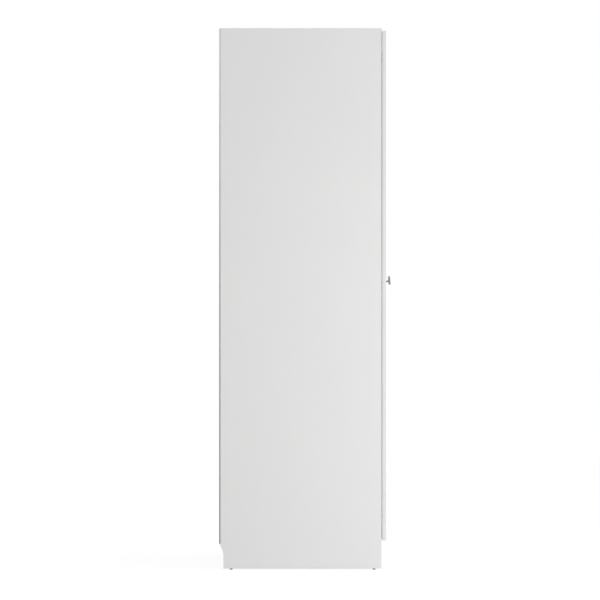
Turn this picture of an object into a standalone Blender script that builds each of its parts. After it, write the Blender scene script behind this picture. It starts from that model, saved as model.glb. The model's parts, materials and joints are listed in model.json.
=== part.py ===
"""White two-door wardrobe with a hat shelf, a hanging rail and three cup hinges on each door.

Metres, +Z up, doors facing -Y. The origin is on the floor, in the middle of the overall box.
"""
import math

import bmesh
import bpy

MM = 0.001
SIDES = {"left": -1, "right": 1}

# Overall sizes
WIDTH = 800 * MM
HEIGHT = 2000 * MM
CARCASS_DEPTH = 600 * MM
BOARD = 15 * MM
SEAT = 0.3 * MM

# Working values: how far a cutter passes a face, how near two points are one, where shading breaks
CUTTER_OVERSHOOT = 1 * MM
MERGE_DISTANCE = 0.001 * MM
SHADE_BREAK = math.radians(35)

# Flat sides or steps that stand for round shapes
POST_SIDES = 24
FOOT_SIDES = 24
SCREW_SIDES = 20
PIN_SIDES = 16
CUP_SIDES = 40
CUT_OUT_STEPS = 12
RAIL_STEPS = 10
CORNER_STEPS = 5
EDGE_STEPS = 3
LINK_STEPS = 12
EYE_STEPS = 8
EYE_SWELL = 6

# Glides and the cut-out that clears a skirting board
FOOT_HEIGHT = 4 * MM
FOOT_RADIUS = 5.5 * MM
FOOT_EDGE = 0.8 * MM
FOOT_INSET = 28 * MM
SKIRTING_DEPTH = 16 * MM
SKIRTING_HEIGHT = 91 * MM
SKIRTING_RADIUS = 80 * MM

# Back sheets and the strip that joins them
BACK = 4 * MM
BACK_INSET = 1 * MM
STRIP_WIDTH = 18 * MM
STRIP_FLANGE = 1 * MM
STRIP_WEB = 1.4 * MM

# Inside
BOTTOM_OVER_CUT_OUT = 3 * MM
SHELF_TOP_SPACE = 300 * MM
SHELF_FRONT_INSET = 30 * MM
SHELF_BACK_SPACE = 3 * MM
PLINTH_INSET = 20 * MM
PLINTH_FLOOR_SPACE = 6 * MM
RAIL_DROP = 52 * MM
RAIL_TALL = 30 * MM
RAIL_WIDE = 15 * MM
RAIL_WALL = 1.2 * MM
SOCKET_WALL = 4 * MM
SOCKET_FLOOR = 3 * MM
SOCKET_DEPTH = 14 * MM

# Doors
DOOR = 15 * MM
DOOR_GAP = 2 * MM
DOOR_TOP_DROP = 9 * MM
DOOR_OVERLAY = 6 * MM
DOOR_SIDE_INSET = 2.5 * MM
DOOR_MEETING_GAP = 3 * MM

# Knobs and their screws
KNOB_HEIGHT = 1067 * MM
KNOB_RISE = 3.5 * MM
KNOB_EDGE_DISTANCE = 38 * MM
KNOB_REACH = 26 * MM
KNOB_SIZE = 32 * MM
KNOB_THICK = 5.5 * MM
KNOB_CORNER = 7 * MM
KNOB_EDGE = 1.2 * MM
KNOB_LEAN = math.radians(5.5)
KNOB_POST_RADIUS = 3.5 * MM
KNOB_BORE_DEPTH = 10 * MM
SCREW_RADIUS = 2 * MM
SCREW_PLAY = 0.4 * MM
SCREW_HEAD_RADIUS = 4 * MM
SCREW_HEAD = 2.4 * MM
SCREW_HEAD_EDGE = 1.4 * MM
SCREW_CROWN_RADIUS = 2.8 * MM

# Hinges: u runs inward from the outer face of a side board, v inward from the back face of its door
HINGE_NAMES = ("low", "middle", "high")
HINGE_END_DISTANCE = 100 * MM
ARM_OUTER_PIN = (38 * MM, 14 * MM)
ARM_INNER_PIN = (26.7 * MM, -6.9 * MM)
CUP_OUTER_PIN = (11.3 * MM, -2.6 * MM)
CUP_INNER_PIN = (14 * MM, -6.3 * MM)
INNER_EYE_SHIFT = (-0.17 * MM, -0.8 * MM)
INNER_EYE_PLAY = 0.95 * MM
PIN_RADIUS = 0.9 * MM
PIN_PLAY = 0.3 * MM
PIN_SINK = 0.1 * MM
EYE_WALL = 0.9 * MM
LINK_HALF_WIDTH = 1.15 * MM
OUTER_LINK_BOW = 8 * MM
INNER_LINK_BOW = 2.3 * MM
LINK_THICK = 3 * MM
TONGUE_HALF = 2.5 * MM
LAYER_GAP = 0.4 * MM
NOSE_RADIUS = 2.1 * MM
SHOULDER_BOW = -2 * MM
NECK_BOW = -1.5 * MM
ARM_REAR = 58 * MM
ARM_FRONT = 24 * MM
ARM_BACKBONE = 5.5 * MM
ARM_HALF = 6 * MM
ARM_TAIL_RADIUS = 4.5 * MM
PLATE_THICK = 3 * MM
PLATE_LINE = 37 * MM
PLATE_HALF_LENGTH = 17 * MM
PLATE_BODY_HALF = 8 * MM
PLATE_WING_HALF = 25 * MM
PLATE_WING_WIDTH = 10 * MM
PLATE_CORNER = 3 * MM
CUP_CENTRE = 23.5 * MM
CUP_BORE_RADIUS = 17.5 * MM
CUP_BORE_DEPTH = 13 * MM
CUP_WALL = 0.8 * MM
CUP_LIP = 1.2 * MM
CUP_FLANGE_START = 19.5 * MM
CUP_FLANGE_END = 44 * MM
CUP_FLANGE_HALF = 30 * MM
CUP_FLANGE_CORNER = 6 * MM

# Places worked out from the sizes
KNOB_FLAT_HALF = KNOB_SIZE / 2 - KNOB_EDGE
KNOB_SIDE_REACH = KNOB_FLAT_HALF * math.sin(KNOB_LEAN) + KNOB_THICK / 2 * math.cos(KNOB_LEAN)
STRIP_REACH = SEAT + STRIP_FLANGE
OVERALL_DEPTH = KNOB_REACH + DOOR + DOOR_GAP + CARCASS_DEPTH + STRIP_REACH
DOOR_FRONT_Y = KNOB_REACH - OVERALL_DEPTH / 2
DOOR_BACK_Y = DOOR_FRONT_Y + DOOR
SIDE_FRONT_Y = DOOR_BACK_Y + DOOR_GAP
BACK_OUTER_Y = SIDE_FRONT_Y + CARCASS_DEPTH
BACK_INNER_Y = BACK_OUTER_Y - BACK
CUT_OUT_Y = BACK_OUTER_Y - SKIRTING_DEPTH
SIDE_BACK_Y = BACK_INNER_Y - SEAT
SIDE_INNER_X = WIDTH / 2 - BOARD
BETWEEN_X = SIDE_INNER_X - SEAT
TOP_UNDER_Z = HEIGHT - BOARD
SKIRTING_TOP_Z = FOOT_HEIGHT + SKIRTING_HEIGHT
DOOR_TOP_Z = HEIGHT - DOOR_TOP_DROP
BOTTOM_UNDER_Z = SKIRTING_TOP_Z + BOTTOM_OVER_CUT_OUT
BOTTOM_TOP_Z = BOTTOM_UNDER_Z + BOARD
DOOR_BOTTOM_Z = BOTTOM_TOP_Z - DOOR_OVERLAY
SHELF_TOP_Z = TOP_UNDER_Z - SHELF_TOP_SPACE
SHELF_UNDER_Z = SHELF_TOP_Z - BOARD
RAIL_Z = SHELF_UNDER_Z - RAIL_DROP
RAIL_Y = (SIDE_FRONT_Y + BACK_INNER_Y) / 2
DOOR_FREE_U = WIDTH / 2 - DOOR_MEETING_GAP / 2
KNOB_U = DOOR_FREE_U - KNOB_EDGE_DISTANCE
PLATE_U = BOARD + SEAT
ARM_U = PLATE_U + PLATE_THICK + SEAT
PLATE_V = DOOR_GAP + PLATE_LINE
CUP_INNER_RADIUS = CUP_BORE_RADIUS - SEAT - CUP_WALL
LINK_START = TONGUE_HALF + LAYER_GAP
LINK_END = LINK_START + LINK_THICK
EYE_HOLE = PIN_RADIUS + PIN_PLAY
EYE_RADIUS = EYE_HOLE + EYE_WALL


def clear_scene():
    """Start from an empty scene."""
    for thing in list(bpy.data.objects):
        bpy.data.objects.remove(thing, do_unlink=True)


def new_material(name, colour, roughness, metallic=0.0):
    """A plain surface for one kind of material."""
    material = bpy.data.materials.new(name)
    material.use_nodes = True
    shader = material.node_tree.nodes["Principled BSDF"]
    shader.inputs["Base Color"].default_value = (*colour, 1.0)
    shader.inputs["Roughness"].default_value = roughness
    shader.inputs["Metallic"].default_value = metallic
    return material


def lift(point, height, axis):
    """Put a flat point at a height along the named axis."""
    a, b = point
    if axis == "X":
        return (height, a, b)
    if axis == "Y":
        return (a, height, b)
    return (a, b, height)


def rectangle(a_low, a_high, b_low, b_high):
    """Four corners of a flat rectangle."""
    return [(a_low, b_low), (a_high, b_low), (a_high, b_high), (a_low, b_high)]


def arc(centre, radius, start, end, steps):
    """Points of a circular arc, both ends included."""
    points = []
    for step in range(steps + 1):
        angle = start + (end - start) * step / steps
        points.append((centre[0] + radius * math.cos(angle), centre[1] + radius * math.sin(angle)))
    return points


def circle(centre, radius, sides):
    """Points of a whole circle."""
    return arc(centre, radius, 0, 2 * math.pi, sides)[:-1]


def stadium(centre, wide, tall):
    """An upright oval with straight sides and half-round ends."""
    radius = wide / 2
    straight = (tall - wide) / 2
    upper = arc((centre[0], centre[1] + straight), radius, 0, math.pi, RAIL_STEPS)
    lower = arc((centre[0], centre[1] - straight), radius, math.pi, 2 * math.pi, RAIL_STEPS)
    return upper + lower


def rounded_square(size, corner):
    """A square with round corners about the middle."""
    reach = size / 2 - corner
    points = []
    for quarter, (a, b) in enumerate(((1, 1), (-1, 1), (-1, -1), (1, -1))):
        start = quarter * math.pi / 2
        points += arc((a * reach, b * reach), corner, start, start + math.pi / 2, CORNER_STEPS)
    return points


def round_corners(points, radius):
    """Swap each outward right-angled corner of a flat outline for an arc."""
    outline = []
    for index, point in enumerate(points):
        before = points[index - 1]
        after = points[(index + 1) % len(points)]
        came = (point[0] - before[0], point[1] - before[1])
        goes = (after[0] - point[0], after[1] - point[1])
        if came[0] * goes[1] - came[1] * goes[0] <= 0:
            outline.append(point)
            continue
        back = radius / math.hypot(*came)
        ahead = radius / math.hypot(*goes)
        centre = [point[k] - came[k] * back + goes[k] * ahead for k in (0, 1)]
        start = math.atan2(-goes[1], -goes[0])
        outline += arc(centre, radius, start, start + math.pi / 2, CORNER_STEPS)
    return outline


def bowed_bar(start, end, bow, start_radius, half_width, end_radius):
    """Outline of a flat bar along a bowed line, with a round eye at each end."""
    along = (end[0] - start[0], end[1] - start[1])
    length = math.hypot(*along)
    along = (along[0] / length, along[1] / length)
    across = (-along[1], along[0])
    left = []
    right = []
    for step in range(LINK_STEPS + 1):
        part = step / LINK_STEPS
        rise = 4 * bow * part * (1 - part)
        slope = 4 * bow * (1 - 2 * part) / length
        lean = math.hypot(1, slope)
        normal = ((across[0] - slope * along[0]) / lean, (across[1] - slope * along[1]) / lean)
        middle = [start[k] + along[k] * length * part + across[k] * rise for k in (0, 1)]
        centre, eye = (start, start_radius) if part < 0.5 else (end, end_radius)
        swell = abs(2 * part - 1) ** EYE_SWELL
        round_eye = math.sqrt(max(0, eye ** 2 - math.dist(middle, centre) ** 2))
        width = max(half_width + (eye - half_width) * swell, round_eye)
        left.append((middle[0] + normal[0] * width, middle[1] + normal[1] * width))
        right.append((middle[0] - normal[0] * width, middle[1] - normal[1] * width))
    far = math.atan2(left[-1][1] - end[1], left[-1][0] - end[0])
    near = math.atan2(right[0][1] - start[1], right[0][0] - start[0])
    far_cap = arc(end, end_radius, far, far - math.pi, EYE_STEPS)[1:-1]
    near_cap = arc(start, start_radius, near, near - math.pi, EYE_STEPS)[1:-1]
    return left + far_cap + right[::-1] + near_cap


def prism(outline, low, high, axis, holes=()):
    """A solid between two planes across an axis, with any holes running right through."""
    bm = bmesh.new()
    rims = []
    edges = []
    for points in (outline, *holes):
        rim = [bm.verts.new(lift(point, low, axis)) for point in points]
        edges += [bm.edges.new((rim[index - 1], vert)) for index, vert in enumerate(rim)]
        rims.append(rim)
    if holes:
        bmesh.ops.triangle_fill(bm, use_beauty=True, edges=edges)
    else:
        bm.faces.new(rims[0])
    base = bm.faces[:]
    twin = {}
    step = lift((0, 0), high - low, axis)
    for rim in rims:
        for vert in rim:
            twin[vert] = bm.verts.new([vert.co[k] + step[k] for k in range(3)])
    for face in base:
        bm.faces.new([twin[vert] for vert in face.verts][::-1])
    for rim in rims:
        for index, vert in enumerate(rim):
            bm.faces.new((rim[index - 1], vert, twin[vert], twin[rim[index - 1]]))
    bmesh.ops.recalc_face_normals(bm, faces=bm.faces[:])
    return bm


def loft(rings, axis):
    """A solid through matching outlines, each with its own height along an axis."""
    bm = bmesh.new()
    loops = [[bm.verts.new(lift(point, height, axis)) for point in outline] for outline, height in rings]
    for lower, upper in zip(loops, loops[1:]):
        for index, vert in enumerate(lower):
            bm.faces.new((lower[index - 1], vert, upper[index], upper[index - 1]))
    bm.faces.new(loops[0])
    bm.faces.new(loops[-1])
    bmesh.ops.recalc_face_normals(bm, faces=bm.faces[:])
    return bm


def lathe(profile, centre, axis, sides):
    """Turn a profile of radius and height about an axis; a zero radius closes it on the axis."""
    bm = bmesh.new()
    rings = []
    for radius, height in profile:
        points = circle(centre, radius, sides) if radius else [centre]
        rings.append([bm.verts.new(lift(point, height, axis)) for point in points])
    for lower, upper in zip(rings, rings[1:]):
        for side in range(sides):
            corners = [lower[side % len(lower)], lower[(side + 1) % sides % len(lower)]]
            corners += [upper[(side + 1) % sides % len(upper)], upper[side % len(upper)]]
            bm.faces.new(list(dict.fromkeys(corners)))
    bmesh.ops.recalc_face_normals(bm, faces=bm.faces[:])
    return bm


def scratch_object(name, bm):
    """A passing object that only feeds the exact solver."""
    mesh = bpy.data.meshes.new(name)
    bm.to_mesh(mesh)
    bm.free()
    scratch = bpy.data.objects.new(name, mesh)
    scratch.hide_render = True
    scratch.display_type = "WIRE"
    bpy.context.scene.collection.objects.link(scratch)
    return scratch


def combine(base, tool, operation):
    """Join or cut two closed solids with the exact solver."""
    body = scratch_object("scratch_body", base)
    cutter = scratch_object("scratch_cutter", tool)
    modifier = body.modifiers.new("combine", "BOOLEAN")
    modifier.operation = operation
    modifier.solver = "EXACT"
    modifier.object = cutter
    graph = bpy.context.evaluated_depsgraph_get()
    result = bmesh.new()
    result.from_object(body, graph)
    bpy.data.objects.remove(body, do_unlink=True)
    bpy.data.objects.remove(cutter, do_unlink=True)
    bmesh.ops.remove_doubles(result, verts=result.verts[:], dist=MERGE_DISTANCE)
    return result


def finish(name, bm, material, origin=(0, 0, 0), smooth=False):
    """Make one named sub-part, with its origin where it is told."""
    bmesh.ops.translate(bm, verts=bm.verts[:], vec=[-value for value in origin])
    for face in bm.faces:
        face.smooth = smooth
    if smooth:
        for edge in bm.edges:
            if len(edge.link_faces) == 2 and edge.calc_face_angle() > SHADE_BREAK:
                edge.smooth = False
    mesh = bpy.data.meshes.new(name)
    bm.to_mesh(mesh)
    bm.free()
    mesh.materials.append(material)
    part = bpy.data.objects.new(name, mesh)
    part.location = origin
    bpy.context.scene.collection.objects.link(part)
    return part


def board(name, x_range, y_range, z_range, material):
    """A plain board on the carcass."""
    outline = rectangle(*y_range, *z_range)
    return finish(name, prism(outline, *x_range, "X"), material)


def hinge_place(side, point, height):
    """World place of a hinge point given by u, v and a height."""
    return (side * (WIDTH / 2 - point[0]), DOOR_BACK_Y + point[1], height)


def finish_on_hinge_side(name, bm, material, side, height=0.0, pivot=(0, 0), smooth=False):
    """Carry a solid drawn in u, v and height to its side, mirrored on the right, and finish it."""
    piece = bm.copy()
    for vert in piece.verts:
        u, v, z = vert.co
        vert.co = hinge_place(side, (u, v), height + z)
    if side > 0:
        bmesh.ops.reverse_faces(piece, faces=piece.faces[:])
    return finish(name, piece, material, hinge_place(side, pivot, height), smooth)


def side_outline():
    """A side board seen from its side, with the curved skirting cut-out at the lower back."""
    centre_y = CUT_OUT_Y + SKIRTING_RADIUS
    rise = math.sqrt(SKIRTING_RADIUS ** 2 - (SKIRTING_RADIUS - SKIRTING_DEPTH) ** 2)
    centre = (centre_y, SKIRTING_TOP_Z - rise)
    edge = math.acos((centre_y - SIDE_BACK_Y) / SKIRTING_RADIUS)
    curve = arc(centre, SKIRTING_RADIUS, math.pi - edge, math.pi, CUT_OUT_STEPS)
    front = [(CUT_OUT_Y, FOOT_HEIGHT), (SIDE_FRONT_Y, FOOT_HEIGHT), (SIDE_FRONT_Y, HEIGHT)]
    return [*curve, *front, (SIDE_BACK_Y, HEIGHT)]


def build_carcass(melamine, hardboard, plastic, dark):
    """Sides, boards between them, back sheets with their strip, and glides."""
    inside = (-BETWEEN_X, BETWEEN_X)
    deep = (SIDE_FRONT_Y, SIDE_BACK_Y)
    for word, side in SIDES.items():
        span = sorted((side * SIDE_INNER_X, side * WIDTH / 2))
        finish(f"side_panel_{word}", prism(side_outline(), *span, "X"), melamine)
    board("top_panel", inside, deep, (TOP_UNDER_Z, HEIGHT), melamine)
    board("bottom_panel", inside, deep, (BOTTOM_UNDER_Z, BOTTOM_TOP_Z), melamine)
    shelf_deep = (SIDE_FRONT_Y + SHELF_FRONT_INSET, BACK_INNER_Y - SHELF_BACK_SPACE)
    board("hat_shelf", inside, shelf_deep, (SHELF_UNDER_Z, SHELF_TOP_Z), melamine)
    plinth_front = SIDE_FRONT_Y + PLINTH_INSET
    plinth_tall = (PLINTH_FLOOR_SPACE, BOTTOM_UNDER_Z - SEAT)
    board("plinth", inside, (plinth_front, plinth_front + BOARD), plinth_tall, melamine)
    sheet_tall = (SKIRTING_TOP_Z, HEIGHT - BACK_INSET)
    for word, side in SIDES.items():
        span = sorted((side * (STRIP_WEB / 2 + SEAT), side * (WIDTH / 2 - BACK_INSET)))
        board(f"back_panel_{word}", span, (BACK_INNER_Y, BACK_OUTER_Y), sheet_tall, hardboard)
    build_strip(plastic)
    for word, side in SIDES.items():
        centre_x = side * (WIDTH / 2 - BOARD / 2)
        for place, y in (("front", SIDE_FRONT_Y + FOOT_INSET), ("back", CUT_OUT_Y - FOOT_INSET)):
            build_foot(f"foot_{place}_{word}", (centre_x, y), dark)


def build_strip(plastic):
    """Joining strip with an H section, standing between the bottom and top boards."""
    half = STRIP_WIDTH / 2
    web = STRIP_WEB / 2
    inner = BACK_INNER_Y - SEAT
    outer = BACK_OUTER_Y + SEAT
    right = [(half, inner - STRIP_FLANGE), (half, inner), (web, inner)]
    right += [(web, outer), (half, outer), (half, outer + STRIP_FLANGE)]
    outline = right + [(-x, y) for x, y in reversed(right)]
    strip = prism(outline, BOTTOM_TOP_Z + SEAT, TOP_UNDER_Z - SEAT, "Z")
    finish("back_joining_strip", strip, plastic)


def build_foot(name, centre, dark):
    """A low nail-on glide under a side board."""
    top = FOOT_HEIGHT - SEAT
    profile = [(0, 0), (FOOT_RADIUS - FOOT_EDGE, 0), (FOOT_RADIUS, FOOT_EDGE), (FOOT_RADIUS, top), (0, top)]
    finish(name, lathe(profile, centre, "Z", FOOT_SIDES), dark, smooth=True)


def build_rail(chrome, plastic):
    """Oval hanging rail and the two sockets that carry its ends."""
    centre = (RAIL_Y, RAIL_Z)
    face = SIDE_INNER_X - SEAT
    pocket = face - SOCKET_FLOOR
    end = pocket - SEAT
    outline = stadium(centre, RAIL_WIDE, RAIL_TALL)
    bore = stadium(centre, RAIL_WIDE - 2 * RAIL_WALL, RAIL_TALL - 2 * RAIL_WALL)
    finish("hanging_rail", prism(outline, -end, end, "X", [bore]), chrome, smooth=True)
    play = 2 * SEAT
    hollow = stadium(centre, RAIL_WIDE + play, RAIL_TALL + play)
    rim = stadium(centre, RAIL_WIDE + play + 2 * SOCKET_WALL, RAIL_TALL + play + 2 * SOCKET_WALL)
    mouth = face - SOCKET_DEPTH
    for word, side in SIDES.items():
        socket = prism(rim, side * face, side * mouth, "X")
        cutter = prism(hollow, side * pocket, side * (mouth - CUTTER_OVERSHOOT), "X")
        finish(f"rail_socket_{word}", combine(socket, cutter, "DIFFERENCE"), plastic, smooth=True)


def hinge_heights():
    """Height of each hinge on a door, with its name."""
    low = DOOR_BOTTOM_Z + HINGE_END_DISTANCE
    high = DOOR_TOP_Z - HINGE_END_DISTANCE
    return dict(zip(HINGE_NAMES, (low, (low + high) / 2, high)))


def door_solid():
    """A door board with its screw hole and its blind bores for the hinge cups."""
    outline = rectangle(DOOR_SIDE_INSET, DOOR_FREE_U, DOOR_BOTTOM_Z, DOOR_TOP_Z)
    hole = circle((KNOB_U, KNOB_HEIGHT), SCREW_RADIUS + SCREW_PLAY, POST_SIDES)
    door = prism(outline, -DOOR, 0, "Y", [hole])
    for height in hinge_heights().values():
        bore = circle((CUP_CENTRE, height), CUP_BORE_RADIUS, CUP_SIDES)
        door = combine(door, prism(bore, -CUP_BORE_DEPTH, CUTTER_OVERSHOOT, "Y"), "DIFFERENCE")
    return door


def knob_plate_solid():
    """The knob's plate about the middle, a rounded square with rounded edges."""
    rings = []
    for step in range(EDGE_STEPS + 1):
        turn = math.pi / 2 * step / EDGE_STEPS
        inset = KNOB_EDGE * (1 - math.sin(turn))
        outline = rounded_square(KNOB_SIZE - 2 * inset, KNOB_CORNER - inset)
        rings.append((outline, KNOB_EDGE * (1 - math.cos(turn)) - KNOB_THICK / 2))
    rings += [(outline, -height) for outline, height in reversed(rings)]
    return loft(rings, "Y")


def knob_solid():
    """A leaning rounded plate, set a little high on a round post that is bored for its screw."""
    front = -DOOR
    middle = front - (KNOB_REACH - KNOB_SIDE_REACH)
    plate = knob_plate_solid()
    for vert in plate.verts:
        x, y, z = vert.co
        leaned_y = y * math.cos(KNOB_LEAN) + z * math.sin(KNOB_LEAN)
        leaned_z = z * math.cos(KNOB_LEAN) - y * math.sin(KNOB_LEAN)
        vert.co = (KNOB_U + x, middle + leaned_y, KNOB_HEIGHT + KNOB_RISE + leaned_z)
    centre = (KNOB_U, KNOB_HEIGHT)
    post = prism(circle(centre, KNOB_POST_RADIUS, POST_SIDES), middle, front - SEAT, "Y")
    hole = circle(centre, SCREW_RADIUS + SCREW_PLAY, POST_SIDES)
    bore = prism(hole, front - KNOB_BORE_DEPTH, front + CUTTER_OVERSHOOT, "Y")
    return combine(combine(plate, post, "UNION"), bore, "DIFFERENCE")


def knob_screw_solid():
    """Pan-head screw through the door into the knob's post."""
    tip = -DOOR - KNOB_BORE_DEPTH + SEAT
    head = SEAT + SCREW_HEAD
    profile = [(0, tip), (SCREW_RADIUS, tip), (SCREW_RADIUS, SEAT), (SCREW_HEAD_RADIUS, SEAT)]
    profile += [(SCREW_HEAD_RADIUS, SEAT + SCREW_HEAD_EDGE), (SCREW_CROWN_RADIUS, head), (0, head)]
    return lathe(profile, (KNOB_U, KNOB_HEIGHT), "Y", SCREW_SIDES)


def mounting_plate_solid():
    """Cross-shaped plate screwed to the side board."""
    body = PLATE_BODY_HALF
    wing = PLATE_WING_WIDTH / 2
    quarter = [(PLATE_HALF_LENGTH, body), (wing, body), (wing, PLATE_WING_HALF)]
    upper = quarter + [(-v, z) for v, z in reversed(quarter)]
    outline = upper + [(-v, -z) for v, z in upper]
    outline = [(PLATE_V + v, z) for v, z in round_corners(outline, PLATE_CORNER)]
    return prism(outline, PLATE_U, PLATE_U + PLATE_THICK, "X")


def arm_solid():
    """Hinge arm: a backbone on the plate, a tongue that dips into the cup, and two fixed pins."""
    top = ARM_U + ARM_BACKBONE
    tail = (top - ARM_TAIL_RADIUS, ARM_REAR - ARM_TAIL_RADIUS)
    tail = arc(tail, ARM_TAIL_RADIUS, 0, math.pi / 2, CORNER_STEPS)
    backbone = [(ARM_U, ARM_FRONT), (top, ARM_FRONT), *tail, (ARM_U, ARM_REAR)]
    arm = prism(backbone, -ARM_HALF, ARM_HALF, "Z")
    root = (ARM_U + ARM_BACKBONE / 2, ARM_FRONT + ARM_BACKBONE)
    shoulder = bowed_bar(root, ARM_OUTER_PIN, SHOULDER_BOW, ARM_BACKBONE / 2, NOSE_RADIUS, EYE_RADIUS)
    neck = bowed_bar(ARM_OUTER_PIN, ARM_INNER_PIN, NECK_BOW, EYE_RADIUS, NOSE_RADIUS, NOSE_RADIUS)
    for outline in (shoulder, neck):
        arm = combine(arm, prism(outline, -TONGUE_HALF, TONGUE_HALF, "Z"), "UNION")
    for point, way in ((ARM_OUTER_PIN, 1), (ARM_INNER_PIN, -1)):
        pin = prism(circle(point, PIN_RADIUS, PIN_SIDES), 0, way * (LINK_END + SEAT), "Z")
        arm = combine(arm, pin, "UNION")
    return arm


def outer_link_solid():
    """Longer link, from the arm's shoulder to the cup."""
    outline = bowed_bar(ARM_OUTER_PIN, CUP_OUTER_PIN, OUTER_LINK_BOW, EYE_RADIUS, LINK_HALF_WIDTH, EYE_RADIUS)
    eyes = [circle(point, EYE_HOLE, PIN_SIDES) for point in (ARM_OUTER_PIN, CUP_OUTER_PIN)]
    return prism(outline, LINK_START, LINK_END, "Z", eyes)


def inner_link_solid():
    """Shorter link, from the arm's nose to the cup, with a roomy eye at the cup."""
    far = tuple(CUP_INNER_PIN[k] + INNER_EYE_SHIFT[k] for k in (0, 1))
    far_hole = EYE_HOLE + INNER_EYE_PLAY
    far_radius = far_hole + EYE_WALL
    outline = bowed_bar(ARM_INNER_PIN, far, INNER_LINK_BOW, EYE_RADIUS, LINK_HALF_WIDTH, far_radius)
    eyes = [circle(ARM_INNER_PIN, EYE_HOLE, PIN_SIDES), circle(far, far_hole, PIN_SIDES)]
    return prism(outline, -LINK_END, -LINK_START, "Z", eyes)


def cup_solid():
    """Hinge cup pressed into the door: bowl, screw flange and the two pins across it."""
    outer = CUP_BORE_RADIUS - SEAT
    floor = -CUP_BORE_DEPTH + SEAT
    top = SEAT + CUP_LIP
    profile = [(0, floor), (outer, floor), (outer, top), (CUP_INNER_RADIUS, top)]
    profile += [(CUP_INNER_RADIUS, floor + CUP_WALL), (0, floor + CUP_WALL)]
    cup = lathe(profile, (CUP_CENTRE, 0), "Y", CUP_SIDES)
    flange = rectangle(CUP_FLANGE_START, CUP_FLANGE_END, -CUP_FLANGE_HALF, CUP_FLANGE_HALF)
    ring = circle((CUP_CENTRE, 0), outer - CUP_WALL / 2, CUP_SIDES)
    flange = prism(round_corners(flange, CUP_FLANGE_CORNER), SEAT, top, "Y")
    flange = combine(flange, prism(ring, 0, top + SEAT, "Y"), "DIFFERENCE")
    cup = combine(cup, flange, "UNION")
    spare = CUP_CENTRE - CUP_BORE_RADIUS - CUTTER_OVERSHOOT
    trim = rectangle(spare, CUP_FLANGE_START, -CUP_FLANGE_HALF, CUP_FLANGE_HALF)
    cup = combine(cup, prism(trim, 0, top + CUTTER_OVERSHOOT, "Y"), "DIFFERENCE")
    for point, way in ((CUP_OUTER_PIN, 1), (CUP_INNER_PIN, -1)):
        away = CUP_CENTRE - point[0] + PIN_RADIUS
        reach = math.sqrt(outer ** 2 - away ** 2) - PIN_SINK
        pin = prism(circle(point, PIN_RADIUS, PIN_SIDES), way * (LINK_START - SEAT / 2), way * reach, "Z")
        cup = combine(cup, pin, "UNION")
    return cup


def build_doors(melamine, nickel, steel):
    """Both doors with their knobs, screws and hinges; the right one mirrors the left one."""
    door_pieces = {
        "door": (door_solid(), melamine, False),
        "knob": (knob_solid(), nickel, True),
        "knob_screw": (knob_screw_solid(), steel, True),
    }
    hinge_pieces = {
        "hinge_plate": (mounting_plate_solid(), (0, 0), False),
        "hinge_arm": (arm_solid(), (0, 0), True),
        "hinge_outer_link": (outer_link_solid(), ARM_OUTER_PIN, True),
        "hinge_inner_link": (inner_link_solid(), ARM_INNER_PIN, True),
        "hinge_cup": (cup_solid(), CUP_OUTER_PIN, True),
    }
    for word, side in SIDES.items():
        for piece, (solid, material, smooth) in door_pieces.items():
            name = f"{piece}_{word}"
            finish_on_hinge_side(name, solid, material, side, 0.0, CUP_OUTER_PIN, smooth)
        for level, height in hinge_heights().items():
            for piece, (solid, pivot, smooth) in hinge_pieces.items():
                name = f"{piece}_{word}_{level}"
                finish_on_hinge_side(name, solid, steel, side, height, pivot, smooth)


def main():
    """Build the wardrobe."""
    clear_scene()
    melamine = new_material("white_melamine", (0.84, 0.84, 0.83), 0.42)
    hardboard = new_material("hardboard", (0.42, 0.36, 0.28), 0.75)
    plastic = new_material("white_plastic", (0.82, 0.82, 0.80), 0.45)
    dark = new_material("dark_plastic", (0.06, 0.06, 0.065), 0.5)
    chrome = new_material("chrome", (0.78, 0.79, 0.80), 0.12, 1.0)
    nickel = new_material("satin_nickel", (0.66, 0.65, 0.63), 0.3, 1.0)
    steel = new_material("plated_steel", (0.62, 0.62, 0.61), 0.25, 1.0)
    build_carcass(melamine, hardboard, plastic, dark)
    build_rail(chrome, plastic)
    build_doors(melamine, nickel, steel)


main()
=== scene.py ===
# %% [markdown]
# # A white two-door wardrobe
# The imported model brings every board, hinge and rail at its real size and place.
# This lesson dresses those parts: finishes first, then boards with rounded and banded edges, screws and nails,
# and at the end the studio. The wardrobe could also be drawn anew in an empty file, but then nothing would tie it
# to the model's sizes. So the model is loaded first, and its box is kept.

# %% Load the imported wardrobe
import json
import math

import bmesh
import bpy
from mathutils import Matrix, Vector

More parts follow.
